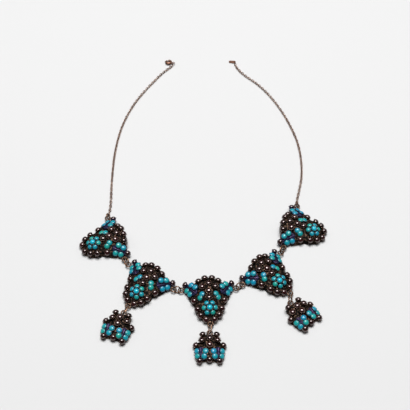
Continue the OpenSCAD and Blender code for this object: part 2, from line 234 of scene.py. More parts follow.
# In metres: how far the main lamp stands towards the clasp, and the right one of the fill lamps
MAIN_LAMP_Y = 0.29
FILL_LAMP_AT = (0.9, 0.45, 1.1)
FILL_LAMP_SIDE = 1
WORLD_STRENGTH = 0.05
# The floor lies this far under the rims, so that their feet don't share a face with it
FLOOR_Z = -0.02
FLOOR_SIDE = 6
FLOOR_ROUGHNESS = 0.9

# Sizes and colours


def measure(name, description, default, unit="LENGTH"):
    return bpy.props.FloatProperty(
        name=name, description=description, default=default, min=0, unit=unit
    )


def colour(name, description, default):
    return bpy.props.FloatVectorProperty(
        name=name, description=description, default=default, subtype="COLOR", min=0, max=1
    )


class NecklaceStones(bpy.types.PropertyGroup):
    panel_garnet: measure("Panel garnet", "Diameter of the garnets on the panels", 0.0037)
    drop_garnet: measure("Drop garnet", "Diameter of the garnets on the drops", 0.0036)
    tip_garnet: measure("Leaf garnet", "Diameter of the garnet at a leaf's tip", 0.0035)
    turquoise: measure("Turquoise", "Diameter of the small turquoises", 0.0035)
    petal: measure("Petal turquoise", "Diameter of the turquoises round a flower's middle", 0.0031)
    flower_stone: measure("Flower stone", "Diameter of the turquoise in the middle of a flower", 0.0035)
    garnet_dark: colour("Garnet shade", "Darkest colour of the garnets", (0.003, 0.0015, 0.0012))
    garnet_red: colour("Garnet glow", "Red-brown that shows in the lighter garnets", (0.035, 0.004, 0.004))
    sky: colour("Sky turquoise", "Colour of the bluest turquoises", (0.004, 0.27, 0.44))
    green: colour("Green turquoise", "Colour of the greenest turquoises", (0.012, 0.37, 0.29))
    bright: colour("Flower turquoise", "Colour of the large stone in a flower", (0.004, 0.5, 0.64))
    # Painted shade round a turquoise's edge
    painted_edge_shade: colour("Turquoise edge shade", "Painted shade round a turquoise's edge", (0.002, 0.03, 0.07))
    veins: colour("Veins", "Brown matrix in the turquoises", (0.05, 0.1, 0.09))


class NecklaceMetal(bpy.types.PropertyGroup):
    gilt: colour("Gilt", "Rubbed gilding on claws and edges", (0.27, 0.165, 0.115))
    # Patina of the mounts, so dark that it also paints the shade between the stones
    patina: colour("Patina", "Patina darkened to near black, which also paints the shade between the stones", (0.004, 0.003, 0.0025))
    # Violet and dark blue metal of the leaves
    leaf_metal: colour("Leaf metal", "Rubbed metal of a leaf's rib and edge", (0.11, 0.07, 0.14))
    leaf_shade: colour("Leaf shade", "Dark blue metal inside a leaf", (0.012, 0.016, 0.045))
    chain: colour("Chain metal", "Rubbed metal of the chains", (0.52, 0.38, 0.31))
    chain_shade: colour("Chain shade", "Darkened metal of the chains", (0.17, 0.105, 0.08))
    ring: colour("Ring metal", "Rubbed metal of the rings", (0.34, 0.2, 0.13))
    ring_shade: colour("Ring shade", "Darkened metal of the rings", (0.02, 0.011, 0.008))
    clasp: colour("Clasp metal", "Rubbed metal of clasp and tag", (0.4, 0.19, 0.12))


class NecklaceChain(bpy.types.PropertyGroup):
    link_length: measure("Link length", "Outer length of a chain link", 0.0025)
    link_width: measure("Link width", "Outer width of a chain link", 0.0018)
    wire: measure("Link wire", "Wire of a chain link", 0.00045)


class NecklaceStage(bpy.types.PropertyGroup):
    floor: colour("Floor", "Colour of the pale floor", (0.62, 0.62, 0.62))
    lamp_height: measure("Lamp height", "Height of the main lamp over the necklace", 1.78)
    lamp_side: measure("Lamp side", "Side of the square main lamp", 1)
    lamp_power: measure("Lamp power", "Power of the main lamp", 45.6, "POWER")
    fill_power: measure("Fill power", "Power of each of the two side lamps", 1.8, "POWER")
    lens: measure("Lens", "Focal length of the camera's lens", 85, "CAMERA")
    camera_distance: measure("Camera distance", "Distance of the camera from its target", 0.6)
    camera_tilt: bpy.props.FloatProperty(
        name="Camera tilt",
        description="Angle of the camera off the vertical",
        default=math.radians(36),
        subtype="ANGLE",
    )


# Modelling helpers


def fresh(add, **settings):
    """The object that a primitive's operator adds, its place and turn in its mesh."""
    clear_selection()
    add(**settings)
    bpy.ops.object.transform_apply()
    return bpy.context.active_object


def clear_selection():
    if bpy.context.mode != "OBJECT":
        bpy.ops.object.mode_set(mode="OBJECT")
    bpy.ops.object.select_all(action="DESELECT")


def activate(obj):
    """Makes obj the one selected and active object."""
    clear_selection()
    obj.select_set(True)
    bpy.context.view_layer.objects.active = obj


def edit(obj):
    """Opens obj in edit mode with all its faces selected."""
    activate(obj)
    bpy.ops.object.mode_set(mode="EDIT")
    bpy.ops.mesh.select_mode(type="FACE")
    bpy.ops.mesh.select_all(action="SELECT")


def pick_faces(obj, test):
    """Selects the faces of the mesh in edit mode whose middle and normal pass a test."""
    shape = bmesh.from_edit_mesh(obj.data)
    bpy.ops.mesh.select_all(action="DESELECT")
    for face in shape.faces:
        face.select_set(test(face.calc_center_median(), face.normal))
    bmesh.update_edit_mesh(obj.data)


def finish_mesh(obj, angle=40):
    """Merges doubles, turns faces outwards, leaves edit mode and smooths by angle."""
    edit(obj)
    bpy.ops.mesh.remove_doubles(threshold=1e-6)
    bpy.ops.mesh.normals_make_consistent(inside=False)
    activate(obj)
    bpy.ops.object.shade_smooth_by_angle(angle=math.radians(angle))
    clear_selection()
    return obj


def tint(obj, name, value):
    """Writes one value of a named attribute over a whole mesh."""
    attribute = obj.data.attributes.get(name) or obj.data.attributes.new(name, "FLOAT", "POINT")
    attribute.data.foreach_set("value", [value] * len(obj.data.vertices))


def copy_at(pattern, place, tone=None):
    """A copy of a pattern with its own mesh, its place in the mesh."""
    made = pattern.copy()
    made.data = pattern.data.copy()
    made.data.transform(place)
    bpy.context.scene.collection.objects.link(made)
    if tone is not None:
        tint(made, "tone", tone)
    return made


def join(parts, name):
    """Makes one piece of the parts, under that name."""
    clear_selection()
    for part in parts:
        part.select_set(True)
    bpy.context.view_layer.objects.active = parts[0]
    if len(parts) > 1:
        bpy.ops.object.join()
    parts[0].name = name
    parts[0].data.name = name
    clear_selection()
    return parts[0]


def drop_patterns(*patterns):
    """Removes patterns that have been copied."""
    for pattern in patterns:
        bpy.data.objects.remove(pattern)


def seat(obj, finish, replaced=()):
    """Gives a finished piece its finish and its body, and hides the CAD nodes that it stands for."""
    obj.data.materials.clear()
    obj.data.materials.append(MATERIALS[finish])
    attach(obj, BODY)
    if replaced:
        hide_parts(*replaced)


def turned(axis, angle):
    """A turn about an axis, in radians."""
    return Matrix.Rotation(angle, 4, axis)


def moved(x, y, z):
    """A move in millimetres."""
    return Matrix.Translation((x * MM, y * MM, z * MM))


def laid(x, y, turn):
    """Where a panel or a drop lies."""
    return moved(x - MID[0], y - MID[1], 0) @ turned("Z", math.radians(turn))


def mirrored(rows):
    """Each row once, and once more across the middle line where it stands off it."""
    return [(side * row[0], *row[1:]) for row in rows for side in ((-1, 1) if row[0] > 0 else (1,))]


def leaning(row, hub_v):
    """Place of a stone in its panel's plane, leaning outwards from the hub."""
    u, v, z, lean = row[:4]
    heading = math.atan2(v - hub_v, u) if (u or v != hub_v) else 0
    return moved(u, v, z) @ turned("Z", heading) @ turned("Y", math.radians(lean))


def leaf_seat(side):
    """Where a leaf lies in its panel's plane; the left one is the right one mirrored."""
    place = moved(*LEAF_AT) @ turned("Y", math.radians(LEAF_TILT[1]))
    place = place @ turned("X", math.radians(LEAF_TILT[0])) @ turned("Z", math.radians(LEAF_TURN))
    if side > 0:
        return place
    return Matrix.Diagonal((-1, 1, 1, 1)) @ place @ Matrix.Diagonal((1, -1, 1, 1))


def drop_leaf_seat(side):
    """Where a leaf lies in its drop's plane, tip towards the foot."""
    u, v, z = DROP_LEAF_AT
    place = moved(side * u, v, z) @ turned("Y", math.radians(side * DROP_LEAF_TILT[0]))
    return place @ turned("X", math.radians(DROP_LEAF_TILT[1])) @ turned("Z", -math.pi / 2)


def loop_seat(u, v, turn):
    """Where a loop stands on a rim, its tongue turned inwards."""
    return moved(u, v, 0) @ turned("Z", math.radians(turn))


# Patterns, each modelled once and copied


def garnet_pattern(size):
    """A round cabochon with a tapered back; its dome is part of a ball about the origin."""
    r = size / 2
    girdle = GIRDLE * r
    obj = fresh(bpy.ops.mesh.primitive_uv_sphere_add, segments=24, ring_count=24, radius=r)
    for vertex in obj.data.vertices:
        out, up = math.hypot(vertex.co.x, vertex.co.y) / r, abs(vertex.co.z) / r
        vertex.co /= (out**GARNET_FLATNESS + up**GARNET_FLATNESS) ** (1 / GARNET_FLATNESS)
    edit(obj)
    bpy.ops.mesh.bisect(plane_co=(0, 0, girdle), plane_no=(0, 0, 1), use_fill=True, clear_inner=True)
    pick_faces(obj, lambda at, way: way.z < -FACING)
    depth, narrow = GARNET_BACK
    bpy.ops.mesh.extrude_region_move(TRANSFORM_OT_translate={"value": (0, 0, -depth * r)})
    bpy.ops.transform.resize(value=(narrow, narrow, 1), center_override=(0, 0, 0))
    finish_mesh(obj)
    shade_edge(obj, girdle, r)
    return obj


def shade_edge(obj, low, high):
    """Writes how far a stone's surface lies down from its top to its girdle, the mask of the painted shade
    round its edge.
    """
    attribute = obj.data.attributes.new("edge", "FLOAT", "POINT")
    down = [max(0, min(1, (high - v.co.z) / (high - low))) for v in obj.data.vertices]
    attribute.data.foreach_set("value", down)


def turquoise_pattern(size, height):
    """A low round cabochon on a short girdle, its base at the origin."""
    r, girdle = size / 2, TURQUOISE_GIRDLE * MM
    obj = fresh(bpy.ops.mesh.primitive_uv_sphere_add, segments=20, ring_count=14, radius=r)
    edit(obj)
    bpy.ops.mesh.bisect(plane_co=(0, 0, 0), plane_no=(0, 0, 1), use_fill=True, clear_inner=True)
    bpy.ops.mesh.select_all(action="SELECT")
    bpy.ops.transform.resize(value=(1, 1, (height - girdle) / r), center_override=(0, 0, 0))
    bpy.ops.transform.translate(value=(0, 0, girdle))
    pick_faces(obj, lambda at, way: way.z < -FACING)
    bpy.ops.mesh.extrude_region_move(TRANSFORM_OT_translate={"value": (0, 0, -girdle)})
    bpy.ops.transform.resize(value=(TURQUOISE_BASE, TURQUOISE_BASE, 1), center_override=(0, 0, 0))
    finish_mesh(obj)
    shade_edge(obj, girdle, height)
    return obj


def cup_pattern(radius, top, depth, claws, claw_r):
    """A tapered metal cup with claws round its mouth, the claws rubbed bright."""
    obj = fresh(
        bpy.ops.mesh.primitive_cylinder_add,
        vertices=18, radius=radius, depth=depth, location=(0, 0, top - depth / 2),
    )
    edit(obj)
    pick_faces(obj, lambda at, way: way.z < -FACING)
    bpy.ops.transform.resize(value=(CUP_TAPER, CUP_TAPER, 1), center_override=(0, 0, 0))
    pick_faces(obj, lambda at, way: way.z > FACING)
    bpy.ops.mesh.inset(thickness=CUP_WALL * MM)
    bpy.ops.mesh.extrude_region_move(TRANSFORM_OT_translate={"value": (0, 0, -CUP_HOLLOW * MM)})
    finish_mesh(obj)
    tint(obj, "rub", RUB["cup"])
    parts = [obj]
    out, rise, stretch = CLAW_SHAPE
    for i in range(claws):
        turn = 2 * math.pi * i / claws
        at = (radius * out * math.cos(turn), radius * out * math.sin(turn), top + claw_r * rise)
        claw = fresh(
            bpy.ops.mesh.primitive_uv_sphere_add, segments=8, ring_count=5, radius=claw_r, location=at
        )
        edit(claw)
        bpy.ops.transform.resize(value=(1, 1, stretch), center_override=at)
        finish_mesh(claw)
        tint(claw, "rub", RUB["claw"])
        parts.append(claw)
    return join(parts, "cup_pattern")


def garnet_cup_pattern(size):
    """The cup that takes a garnet's girdle, its claws bent over the dome's foot."""
    r = size / 2
    room, mouth, depth, claws, claw_r = GARNET_CUP
    wide = r * math.sqrt(1 - GIRDLE**2) + room * MM
    return cup_pattern(wide, GIRDLE * r + mouth * MM, depth * MM, claws, claw_r * MM)


def turquoise_cup_pattern(size, cup):
    """The cup under a turquoise; the cup gives its room, its depth and its claws."""
    room, depth, claws = cup
    return cup_pattern(size / 2 + room * MM, CUP_MOUTH_Z * MM, depth * MM, claws, CLAW_R * MM)


def link_pattern(long_side, width, wire):
    """An oval chain link lying in the XY plane, long side along X."""
    bend_r = (width - wire) / 2
    obj = fresh(
        bpy.ops.mesh.primitive_torus_add,
        major_segments=12, minor_segments=6, major_radius=bend_r, minor_radius=wire / 2,
    )
    edit(obj)
    for side in (-1, 1):
        pick_faces(obj, lambda at, way, side=side: at.x * side > 0)
        bpy.ops.transform.translate(value=(side * (long_side - width) / 2, 0, 0))
    return finish_mesh(obj, angle=80)


def leaf_pattern(size):
    """An almond plate with a soft edge and a rounded rib, stem to tip along X."""
    long_side, wide, thick = size
    inset, rise = LEAF_FACE
    arc_r = (long_side**2 + wide**2) / (4 * wide)
    depth = thick * MM
    plate = fresh(
        bpy.ops.mesh.primitive_cylinder_add, vertices=48, radius=1, depth=depth, location=(0, 0, depth / 2)
    )
    for vertex in plate.data.vertices:
        x = long_side / 2 * vertex.co.x
        y = math.copysign(math.sqrt(max(0, arc_r**2 - x**2)) - (arc_r - wide / 2), vertex.co.y)
        vertex.co = (x * MM, y * MM, vertex.co.z)
    edit(plate)
    pick_faces(plate, lambda at, way: way.z > FACING)
    bpy.ops.mesh.inset(thickness=inset * MM)
    bpy.ops.transform.translate(value=(0, 0, rise * MM))
    finish_mesh(plate, angle=30)
    tint(plate, "rub", RUB["leaf"])
    rib_part, rib_r, end_in, end_out = LEAF_RIB
    rib = fresh(
        bpy.ops.mesh.primitive_cylinder_add,
        vertices=12, radius=rib_r * MM, depth=rib_part * long_side * MM, rotation=(0, math.pi / 2, 0),
    )
    edit(rib)
    for end in (-1, 1):
        pick_faces(rib, lambda at, way, end=end: way.x * end > FACING)
        bpy.ops.mesh.inset(thickness=end_in * MM)
        bpy.ops.transform.translate(value=(end * end_out * MM, 0, 0))
    bpy.ops.mesh.select_all(action="SELECT")
    bpy.ops.transform.translate(value=(0, 0, (thick + rise) * MM))
    finish_mesh(rib)
    tint(rib, "rub", RUB["rib"])
    return join([plate, rib], "leaf_pattern")


def loop_pattern():
    """A flat loop at the origin on its foot, its tongue running towards -X."""
    loop = fresh(
        bpy.ops.mesh.primitive_torus_add, major_segments=36, minor_segments=12,
        major_radius=LOOP_R * MM, minor_radius=LOOP_WIRE / 2 * MM, location=(0, 0, LOOP_Z * MM),
    )
    finish_mesh(loop, angle=80)
    parts = [loop]
    for at, size in LOOP_FEET:
        middle = Vector(at) * MM
        foot = fresh(bpy.ops.mesh.primitive_cube_add, size=1, location=middle)
        edit(foot)
        bpy.ops.transform.resize(value=Vector(size) * MM, center_override=middle)
        bpy.ops.mesh.bevel(offset=LOOP_BEVEL * MM, segments=2, affect="EDGES")
        finish_mesh(foot)
        parts.append(foot)
    made = join(parts, "loop_pattern")
    tint(made, "rub", RUB["loop"])
    return made


# Domed plates


def ease(t):
    """A smooth step from 0 to 1."""
    return (1 - math.cos(math.pi * t)) / 2


def reach(rows, angle):
    """Reach of an outline at an angle round its hub, the same on both sides."""
    a = math.degrees(math.atan2(math.sin(angle), abs(math.cos(angle))))
    a = max(-90, min(89.99, a))
    low, high = [(p, q) for p, q in zip(rows, rows[1:]) if p[0] <= a][-1]
    return low[1] + (high[1] - low[1]) * ease((a - low[0]) / (high[0] - low[0]))


def dome_height(dome, u, v, part):
    """Height of a dome's outer face at a place, at that part of the reach."""
    crest_v, slope, curve = dome.fall
    down = max(0, crest_v - v)
    crest = dome.crest_h - slope * down - curve * down * down
    crown = crest * (1 - min(1, abs(u) / dome.half_w) ** DOME_POWER)
    low = part**dome.roll
    return crown * (1 - low) + RIM_H * low


def domed_plate(name, dome):
    """A domed sheet, drawn in from its outline ring by ring, with a wire round its foot."""
    obj = fresh(bpy.ops.mesh.primitive_circle_add, vertices=dome.around, radius=1, fill_type="NOTHING")
    edit(obj)
    bpy.ops.mesh.select_mode(type="EDGE")
    bpy.ops.mesh.select_all(action="SELECT")
    for before, after in zip(DOME_STEPS, DOME_STEPS[1:]):
        bpy.ops.mesh.extrude_region_move()
        bpy.ops.transform.resize(value=(after / before,) * 2 + (1,), center_override=(0, 0, 0))
    bpy.ops.mesh.edge_face_add()
    bpy.ops.mesh.poke()
    clear_selection()
    for vertex in obj.data.vertices:
        part = math.hypot(vertex.co.x, vertex.co.y)
        angle = math.atan2(vertex.co.y, vertex.co.x)
        full = reach(dome.edge, angle)
        u, v = part * full * math.cos(angle), dome.hub_v + part * full * math.sin(angle)
        vertex.co = (u * MM, v * MM, dome_height(dome, u, v, part) * MM)
    edit(obj)
    bpy.ops.mesh.normals_make_consistent(inside=False)
    activate(obj)
    wall = obj.modifiers.new("Wall", "SOLIDIFY")
    wall.thickness, wall.offset = SHEET_T * MM, -1
    bpy.ops.object.modifier_apply(modifier=wall.name)
    finish_mesh(obj, angle=60)
    tint(obj, "rub", RUB["plate"])
    return join([obj, foot_wire(dome)], name)


def foot_wire(dome):
    """The plain wire that a dome stands on, a ring drawn out to the outline."""
    wire_r = RIM_WIRE_R * MM
    obj = fresh(
        bpy.ops.mesh.primitive_torus_add,
        major_segments=dome.around, minor_segments=8, major_radius=1, minor_radius=wire_r,
    )
    for vertex in obj.data.vertices:
        angle = math.atan2(vertex.co.y, vertex.co.x)
        off = math.hypot(vertex.co.x, vertex.co.y) - 1
        r = reach(dome.edge, angle) * MM - wire_r + off
        x, y = r * math.cos(angle), dome.hub_v * MM + r * math.sin(angle)
        vertex.co = (x, y, vertex.co.z + wire_r)
    finish_mesh(obj, angle=80)
    tint(obj, "rub", RUB["rim"])
    return obj


# Materials


def node(tree, kind, at, **settings):
    """Adds a shader node; a setting with a socket's name sets that socket."""
    made = tree.nodes.new(kind)
    made.location = at
    for name, value in settings.items():
        socket = made.inputs.get(name.replace("_", " ").title()) if not hasattr(made, name) else None
        if socket is None:
            setattr(made, name, value)
        else:
            socket.default_value = value
    return made


def connect(tree, *links):
    """Joins sockets; a link names a node and its output, then a node and its input."""
    for source, output, target, socket in links:
        tree.links.new(source.outputs[output], target.inputs[socket])


def new_group(name, inputs, outputs):
    """A node group with its sockets, each named with its kind."""
    tree = bpy.data.node_groups.new(name, "ShaderNodeTree")
    for side, sockets in (("INPUT", inputs), ("OUTPUT", outputs)):
        for title, kind in sockets.items():
            tree.interface.new_socket(name=title, in_out=side, socket_type="NodeSocket" + kind)
    return tree, tree.nodes.new("NodeGroupInput"), tree.nodes.new("NodeGroupOutput")


def rubbed_metal_group():
    """Metal that is dark with patina where the rub value is low, which on the mount plates also paints the
    shade between the stones, and rubbed bright where the rub value is high.
    """
    tree, given, out = new_group(
        "Rubbed metal",
        {"Metal": "Color", "Patina": "Color", "Rub": "Float", "Patches": "Float"},
        {"Color": "Color", "Metallic": "Float", "Roughness": "Float", "Height": "Float"},
    )
    place = node(tree, "ShaderNodeTexCoord", (-900, 0))
    patches = node(tree, "ShaderNodeTexNoise", (-700, 100), detail=3)
    grain = node(tree, "ShaderNodeTexNoise", (-700, -200), scale=5200, detail=2)
    spread = node(
        tree, "ShaderNodeMapRange", (-500, 100), from_min=0.35, from_max=0.65, to_min=-0.45, to_max=0.45
    )
    mask = node(tree, "ShaderNodeMath", (-300, 100), operation="ADD", use_clamp=True)
    mix = node(tree, "ShaderNodeMix", (-100, 200), data_type="RGBA")
    rough = node(tree, "ShaderNodeMapRange", (-100, 0), to_min=0.6, to_max=0.32)
    bare = node(tree, "ShaderNodeMapRange", (-100, -200), from_max=0.4)
    connect(
        tree,
        (place, "Object", patches, "Vector"),
        (place, "Object", grain, "Vector"),
        (given, "Patches", patches, "Scale"),
        (patches, "Fac", spread, "Value"),
        (spread, "Result", mask, 0),
        (given, "Rub", mask, 1),
        (mask, "Value", mix, "Factor"),
        (given, "Patina", mix, "A"),
        (given, "Metal", mix, "B"),
        (mask, "Value", rough, "Value"),
        (mask, "Value", bare, "Value"),
        (mix, "Result", out, "Color"),
        (bare, "Result", out, "Metallic"),
        (rough, "Result", out, "Roughness"),
        (grain, "Fac", out, "Height"),
    )
    return tree


def veined_stone_group():
    """Stone colour between two tones, clouded, crossed by fine veins and darkened round its edge with
    painted shade.
    """
    tree, given, out = new_group(
        "Veined stone",
        {
            **dict.fromkeys(("First", "Second", "Veins", "Edge Color"), "Color"),
            **dict.fromkeys(("Tone", "Clouding", "Vein Strength", "Clouds", "Edge"), "Float"),
        },
        {"Color": "Color", "Height": "Float"},
    )
    place = node(tree, "ShaderNodeTexCoord", (-1100, 0))
    clouds = node(tree, "ShaderNodeTexNoise", (-900, 200), detail=4)
    shift = node(tree, "ShaderNodeMath", (-700, 200), operation="SUBTRACT")
    shift.inputs[1].default_value = 0.5
    tone = node(tree, "ShaderNodeMath", (-500, 200), operation="MULTIPLY_ADD", use_clamp=True)
    body = node(tree, "ShaderNodeMix", (-300, 200), data_type="RGBA")
    veins = node(tree, "ShaderNodeTexNoise", (-900, -200), scale=1300, detail=3)
    line = node(tree, "ShaderNodeMath", (-700, -200), operation="SUBTRACT")
    line.inputs[1].default_value = 0.5
    near = node(tree, "ShaderNodeMath", (-500, -200), operation="ABSOLUTE")
    thin = node(
        tree, "ShaderNodeMapRange", (-300, -200), from_min=0.004, from_max=0.02, to_min=1, to_max=0
    )
    strength = node(tree, "ShaderNodeMath", (-100, -200), operation="MULTIPLY")
    veined = node(tree, "ShaderNodeMix", (100, 100), data_type="RGBA")
    # Painted shade round the stone's edge, stronger towards its girdle
    painted_edge_shade = node(tree, "ShaderNodeMath", (100, -200), operation="POWER", use_clamp=True)
    painted_edge_shade.inputs[1].default_value = EDGE_SHADE_POWER
    edged = node(tree, "ShaderNodeMix", (300, 100), data_type="RGBA")
    connect(
        tree,
        (place, "Object", clouds, "Vector"),
        (given, "Clouds", clouds, "Scale"),
        (clouds, "Fac", shift, 0),
        (shift, "Value", tone, 0),
        (given, "Clouding", tone, 1),
        (given, "Tone", tone, 2),
        (tone, "Value", body, "Factor"),
        (given, "First", body, "A"),
        (given, "Second", body, "B"),
        (place, "Object", veins, "Vector"),
        (veins, "Fac", line, 0),
        (line, "Value", near, 0),
        (near, "Value", thin, "Value"),
        (thin, "Result", strength, 0),
        (given, "Vein Strength", strength, 1),
        (strength, "Value", veined, "Factor"),
        (body, "Result", veined, "A"),
        (given, "Veins", veined, "B"),
        (given, "Edge", painted_edge_shade, 0),
        (painted_edge_shade, "Value", edged, "Factor"),
        (veined, "Result", edged, "A"),
        (given, "Edge Color", edged, "B"),
        (edged, "Result", out, "Color"),
        (clouds, "Fac", out, "Height"),
    )
    return tree


def new_material(name):
    """A material with a plain shader, ready to be wired."""
    material = bpy.data.materials.new(name)
    material.use_nodes = True
    tree = material.node_tree
    shader = next(n for n in tree.nodes if n.type == "BSDF_PRINCIPLED")
    return material, tree, shader


def bump(tree, group, shader, strength, distance):
    """Wires a group's height into the shader as bump."""
    made = node(tree, "ShaderNodeBump", (-250, -300), strength=strength, distance=distance)
    connect(tree, (group, "Height", made, "Height"), (made, "Normal", shader, "Normal"))


def metal_material(name, metal, patina, patches, rub=None):
    """Antique metal; its rub comes from the mesh, or is one value where the mesh has none."""
    material, tree, shader = new_material(name)
    group = node(
        tree, "ShaderNodeGroup", (-500, 0), node_tree=GROUPS["metal"],
        metal=(*metal, 1), patina=(*patina, 1), patches=patches,
    )
    if rub is None:
        read = node(tree, "ShaderNodeAttribute", (-750, 0), attribute_name="rub")
        connect(tree, (read, "Fac", group, "Rub"))
    else:
        group.inputs["Rub"].default_value = rub
    connect(
        tree,
        (group, "Color", shader, "Base Color"),
        (group, "Roughness", shader, "Roughness"),
        (group, "Metallic", shader, "Metallic"),
    )
    shader.inputs["Specular IOR Level"].default_value = PATINA_SHINE
    bump(tree, group, shader, *METAL_BUMP)
    return material


def stone_material(name, colours, roughness, ior, shine=(1, 1, 1), **pattern):
    """Polished stone in two tones, with the colours of its veins and of the painted shade round its edge;
    the rest sets its group.
    """
    material, tree, shader = new_material(name)
    first, second, veins, painted_edge_shade = ((*value, 1) for value in colours)
    group = node(
        tree, "ShaderNodeGroup", (-500, 0), node_tree=GROUPS["stone"],
        first=first, second=second, veins=veins, edge_color=painted_edge_shade, **pattern,
    )
    tone = node(tree, "ShaderNodeAttribute", (-750, 0), attribute_name="tone")
    edge = node(tree, "ShaderNodeAttribute", (-750, -200), attribute_name="edge")
    connect(
        tree,
        (tone, "Fac", group, "Tone"),
        (edge, "Fac", group, "Edge"),
        (group, "Color", shader, "Base Color"),
    )
    shader.inputs["Roughness"].default_value = roughness
    shader.inputs["IOR"].default_value = ior
    shader.inputs["Specular Tint"].default_value = (*shine, 1)
    bump(tree, group, shader, *STONE_BUMP)
    return material


GROUPS = {}
MATERIALS = {}


def make_materials(context):
    stones, metal = context.scene.necklace_stones, context.scene.necklace_metal
    GROUPS["metal"] = rubbed_metal_group()
    GROUPS["stone"] = veined_stone_group()
    dark, veins, painted_edge_shade = stones.garnet_dark, stones.veins, stones.painted_edge_shade
    MATERIALS.update(
        mount=metal_material("Antique gilt mount", metal.gilt, metal.patina, patches=900),
        leaf=metal_material("Violet-blue leaf metal", metal.leaf_metal, metal.leaf_shade, patches=700),
        chain=metal_material("Chain metal", metal.chain, metal.chain_shade, patches=500, rub=0.45),
        ring=metal_material("Ring metal", metal.ring, metal.ring_shade, patches=400, rub=0.5),
        clasp=metal_material("Clasp metal", metal.clasp, metal.chain_shade, patches=400, rub=0.55),
        # A garnet's painted edge shade is its darkest colour
        garnet=stone_material(
            "Garnet", (dark, stones.garnet_red, dark, dark), roughness=0.05, ior=2,
            shine=(1, 0.86, 0.84), clouding=0.5, vein_strength=0, clouds=450,
        ),
        turquoise=stone_material(
            "Turquoise", (stones.sky, stones.green, veins, painted_edge_shade), roughness=0.25, ior=1.55,
            clouding=0.7, vein_strength=0.3, clouds=420,
        ),
        flower_stone=stone_material(
            "Flower turquoise", (stones.bright, stones.sky, veins, painted_edge_shade), roughness=0.22, ior=1.55,
            clouding=0.35, vein_strength=0.1, clouds=300,
        ),
    )


# Operators


class NECKLACE_OT_finishes(bpy.types.Operator):
    """Make the metal and stone finishes that every piece uses"""

    bl_idname = "necklace.finishes"
    bl_label = "Make finishes"

    def execute(self, context):
        make_materials(context)
        return {"FINISHED"}


def cluster(piece, place, dome, garnets, turquoises, garnet_size, loops):
    """One panel or drop: domed mount with its cups and loops, its garnets and its turquoises."""
    turquoise_size = bpy.context.scene.necklace_stones.turquoise
    plate = domed_plate(piece + "_mount", dome)
    plate.data.transform(place)
    loop = loop_pattern()
    parts = [plate, *(copy_at(loop, place @ at) for at in loops)]
    garnet = garnet_pattern(garnet_size), garnet_cup_pattern(garnet_size)
    turquoise = (
        turquoise_pattern(turquoise_size, TURQUOISE_H * MM),
        turquoise_cup_pattern(turquoise_size, PLATE_CUP),
    )
    chance = random.Random(piece)
    red, blue = [], []
    for rows, (stone, cup), made, spread in (
        (garnets, garnet, red, TONE_SPREAD[0]),
        (turquoises, turquoise, blue, TONE_SPREAD[1]),
    ):
        for row in mirrored(rows):
            at = place @ leaning(row, dome.hub_v) @ turned("Y", chance.uniform(-STONE_TILT, STONE_TILT))
            made.append(copy_at(stone, at, row[4] + chance.uniform(-spread, spread)))
            parts.append(copy_at(cup, at))
    drop_patterns(loop, *garnet, *turquoise)
    seat(join(parts, piece + "_mount"), "mount", [piece])
    seat(join(red, piece + "_garnets"), "garnet")
    seat(join(blue, piece + "_turquoises"), "turquoise")


class NECKLACE_OT_panels(bpy.types.Operator):
    """Build the five domed panels with their cups, garnets, turquoises and loops"""

    bl_idname = "necklace.panels"
    bl_label = "Build panels"

    def execute(self, context):
        size = context.scene.necklace_stones.panel_garnet
        loop_u, loop_v = SIDE_LOOP
        for name, x, y, turn, has_drop in PANELS:
            loops = [loop_seat(loop_u, loop_v, 0), loop_seat(-loop_u, loop_v, 180)]
            if has_drop:
                loops.append(loop_seat(0, FOOT_LOOP_V, -90))
            place = laid(x, y, turn)
            cluster(name + "_panel", place, PANEL_DOME, PANEL_GARNETS, PANEL_TURQUOISES, size, loops)
        return {"FINISHED"}


class NECKLACE_OT_drops(bpy.types.Operator):
    """Build the three domed drops with their cups, garnets, turquoises and loops"""

    bl_idname = "necklace.drops"
    bl_label = "Build drops"

    def execute(self, context):
        size = context.scene.necklace_stones.drop_garnet
        leaf = leaf_pattern(DROP_LEAF_SIZE)
        loops = [loop_seat(0, DROP_LOOP_V, 90)]
        for name, x, y, turn in DROPS:
            piece, place = name + "_drop", laid(x, y, turn)
            cluster(piece, place, DROP_DOME, DROP_GARNETS, DROP_TURQUOISES, size, loops)
            leaves = [copy_at(leaf, place @ drop_leaf_seat(side)) for side in (-1, 1)]
            seat(join(leaves, piece + "_leaves"), "leaf")
        drop_patterns(leaf)
        return {"FINISHED"}


